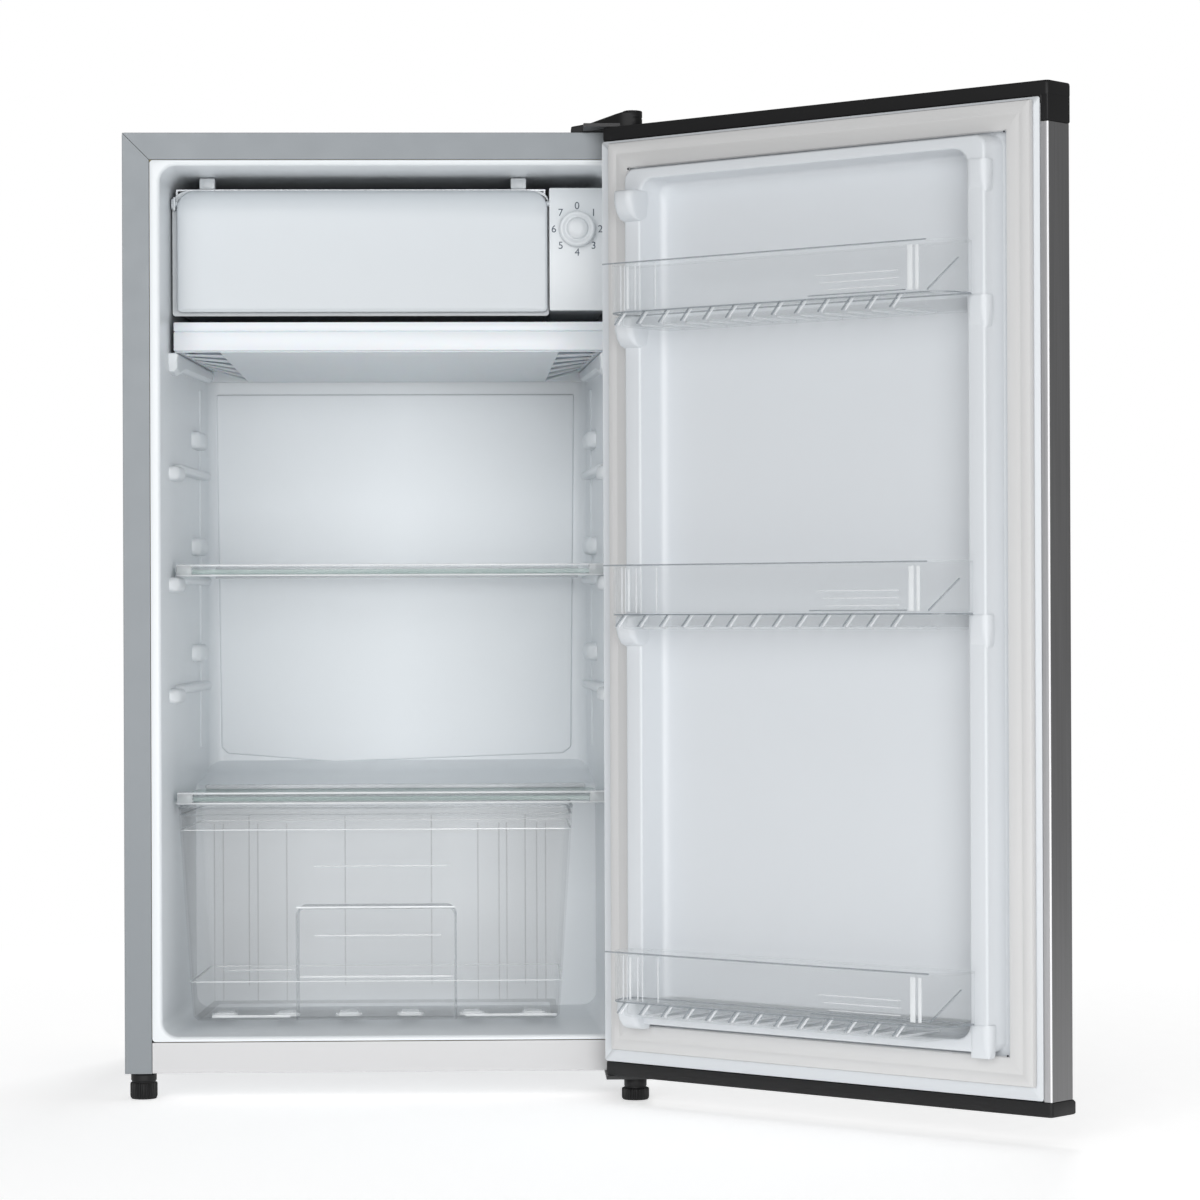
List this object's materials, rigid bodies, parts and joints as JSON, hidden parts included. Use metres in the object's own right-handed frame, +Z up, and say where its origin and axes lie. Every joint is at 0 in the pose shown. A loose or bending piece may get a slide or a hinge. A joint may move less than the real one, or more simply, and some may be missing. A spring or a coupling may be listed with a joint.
{
  "type": "mini fridge",
  "caption": "Compact refrigerator with a freezer box, glass shelves, a crisper drawer and a hinged door with lift-off bins, shown with its door open.",
  "frame": {"origin": "middle of the bottom of the bounding box with the door open, on the floor that the feet stand on", "axes": "+Z up, +Y to the back, +X to the right as seen from the front"},
  "size_m": [0.7896, 0.7576, 0.865],
  "materials": {
    "cabinet_paint": "satin grey paint",
    "zinc_sheet": "zinc coated sheet",
    "white_plastic": "smooth cool white",
    "tray_plastic": "smooth milky white",
    "foam": "matte foam",
    "aluminium": "mill finish",
    "glass": "clear with a green edge",
    "clear_plastic": "clear",
    "door_steel": "dark grey satin steel",
    "black_plastic": "fine texture",
    "gasket_rubber": "soft matte",
    "black_steel": "satin black",
    "bright_steel": "plated",
    "copper": "drawn copper tube",
    "rubber": "matte"
  },
  "bodies": {
    "cabinet": {"outer_shell": "cabinet_paint", "back_panel": "cabinet_paint", "base_rail": "white_plastic", "base_plate": "zinc_sheet", "corner_bracket": "zinc_sheet", "inner_liner": "white_plastic", "cabinet_foam": "foam", "bay_panel": "zinc_sheet", "condenser_tube": "copper", "compressor": "black_steel", "compressor_plate": "black_steel", "compressor_grommet_1": "rubber", "compressor_grommet_2": "rubber", "compressor_grommet_3": "rubber", "compressor_grommet_4": "rubber", "relay_cover": "black_plastic", "filter_drier": "copper", "capillary_tube": "copper", "discharge_tube": "copper", "suction_tube": "copper", "evaporator": "aluminium", "evaporator_clip_left": "white_plastic", "evaporator_clip_right": "white_plastic", "freezer_frame": "white_plastic", "thermostat_housing": "white_plastic", "thermostat_body": "zinc_sheet", "upper_hinge_bracket": "black_steel", "upper_hinge_cover": "black_plastic", "upper_hinge_screw_1": "bright_steel", "upper_hinge_screw_2": "bright_steel", "lower_hinge_bracket": "black_steel", "lower_hinge_screw_1": "bright_steel", "lower_hinge_screw_2": "bright_steel", "left_rear_foot": "black_plastic", "right_rear_foot": "black_plastic"},
    "door": {"door_panel": "door_steel", "door_top_cap": "black_plastic", "door_bottom_cap": "black_plastic", "door_liner": "white_plastic", "door_gasket": "gasket_rubber", "door_foam": "foam", "upper_hinge_bush": "white_plastic", "lower_hinge_bush": "white_plastic"},
    "top_bin_body": {"top_bin": "clear_plastic"},
    "middle_bin_body": {"middle_bin": "clear_plastic"},
    "bottom_bin_body": {"bottom_bin": "clear_plastic"},
    "flap": {"freezer_flap": "white_plastic"},
    "knob": {"thermostat_knob": "white_plastic"},
    "tray": {"drip_tray": "tray_plastic"},
    "upper_shelf": {"upper_shelf_glass": "glass", "upper_shelf_front_trim": "white_plastic", "upper_shelf_rear_trim": "white_plastic"},
    "lower_shelf": {"lower_shelf_glass": "glass", "lower_shelf_front_trim": "white_plastic", "lower_shelf_rear_trim": "white_plastic"},
    "crisper": {"crisper_drawer": "clear_plastic"},
    "left_foot": {"left_front_foot": "black_plastic"},
    "right_foot": {"right_front_foot": "black_plastic"}
  },
  "joints": [
    {"name": "door_hinge", "type": "hinge", "parent": "cabinet", "child": "door", "pos_m": [0.05288, -0.06049, 0.44], "axis": [0, 0, 1], "range_deg": [-138, 22]},
    {"name": "flap_hinge", "type": "hinge", "parent": "cabinet", "child": "flap", "pos_m": [-0.16232, 0.04071, 0.7944], "axis": [-1, 0, 0], "range_deg": [0, 95]},
    {"name": "thermostat_turn", "type": "hinge", "parent": "cabinet", "child": "knob", "pos_m": [0.00638, 0.02951, 0.7711], "axis": [0, -1, 0], "range_deg": [0, 315]},
    {"name": "tray_slide", "type": "slide", "parent": "cabinet", "child": "tray", "axis": [0, -1, 0], "range_m": [0, 0.085]},
    {"name": "upper_shelf_slide", "type": "slide", "parent": "cabinet", "child": "upper_shelf", "axis": [0, -1, 0], "range_m": [0, 0.105]},
    {"name": "lower_shelf_slide", "type": "slide", "parent": "cabinet", "child": "lower_shelf", "axis": [0, -1, 0], "range_m": [0, 0.1]},
    {"name": "crisper_slide", "type": "slide", "parent": "cabinet", "child": "crisper", "axis": [0, -1, 0], "range_m": [0, 0.15]},
    {"name": "top_bin_lift", "type": "slide", "parent": "door", "child": "top_bin_body", "axis": [0, 0, 1], "range_m": [0, 0.03]},
    {"name": "middle_bin_lift", "type": "slide", "parent": "door", "child": "middle_bin_body", "axis": [0, 0, 1], "range_m": [0, 0.03]},
    {"name": "bottom_bin_lift", "type": "slide", "parent": "door", "child": "bottom_bin_body", "axis": [0, 0, 1], "range_m": [0, 0.03]},
    {"name": "left_foot_turn", "type": "hinge", "parent": "cabinet", "child": "left_foot", "pos_m": [-0.37972, -0.01249, 0.01], "axis": [0, 0, 1], "continuous": true},
    {"name": "right_foot_turn", "type": "hinge", "parent": "cabinet", "child": "right_foot", "pos_m": [0.05288, -0.04349, 0.01], "axis": [0, 0, 1], "continuous": true}
  ]
}
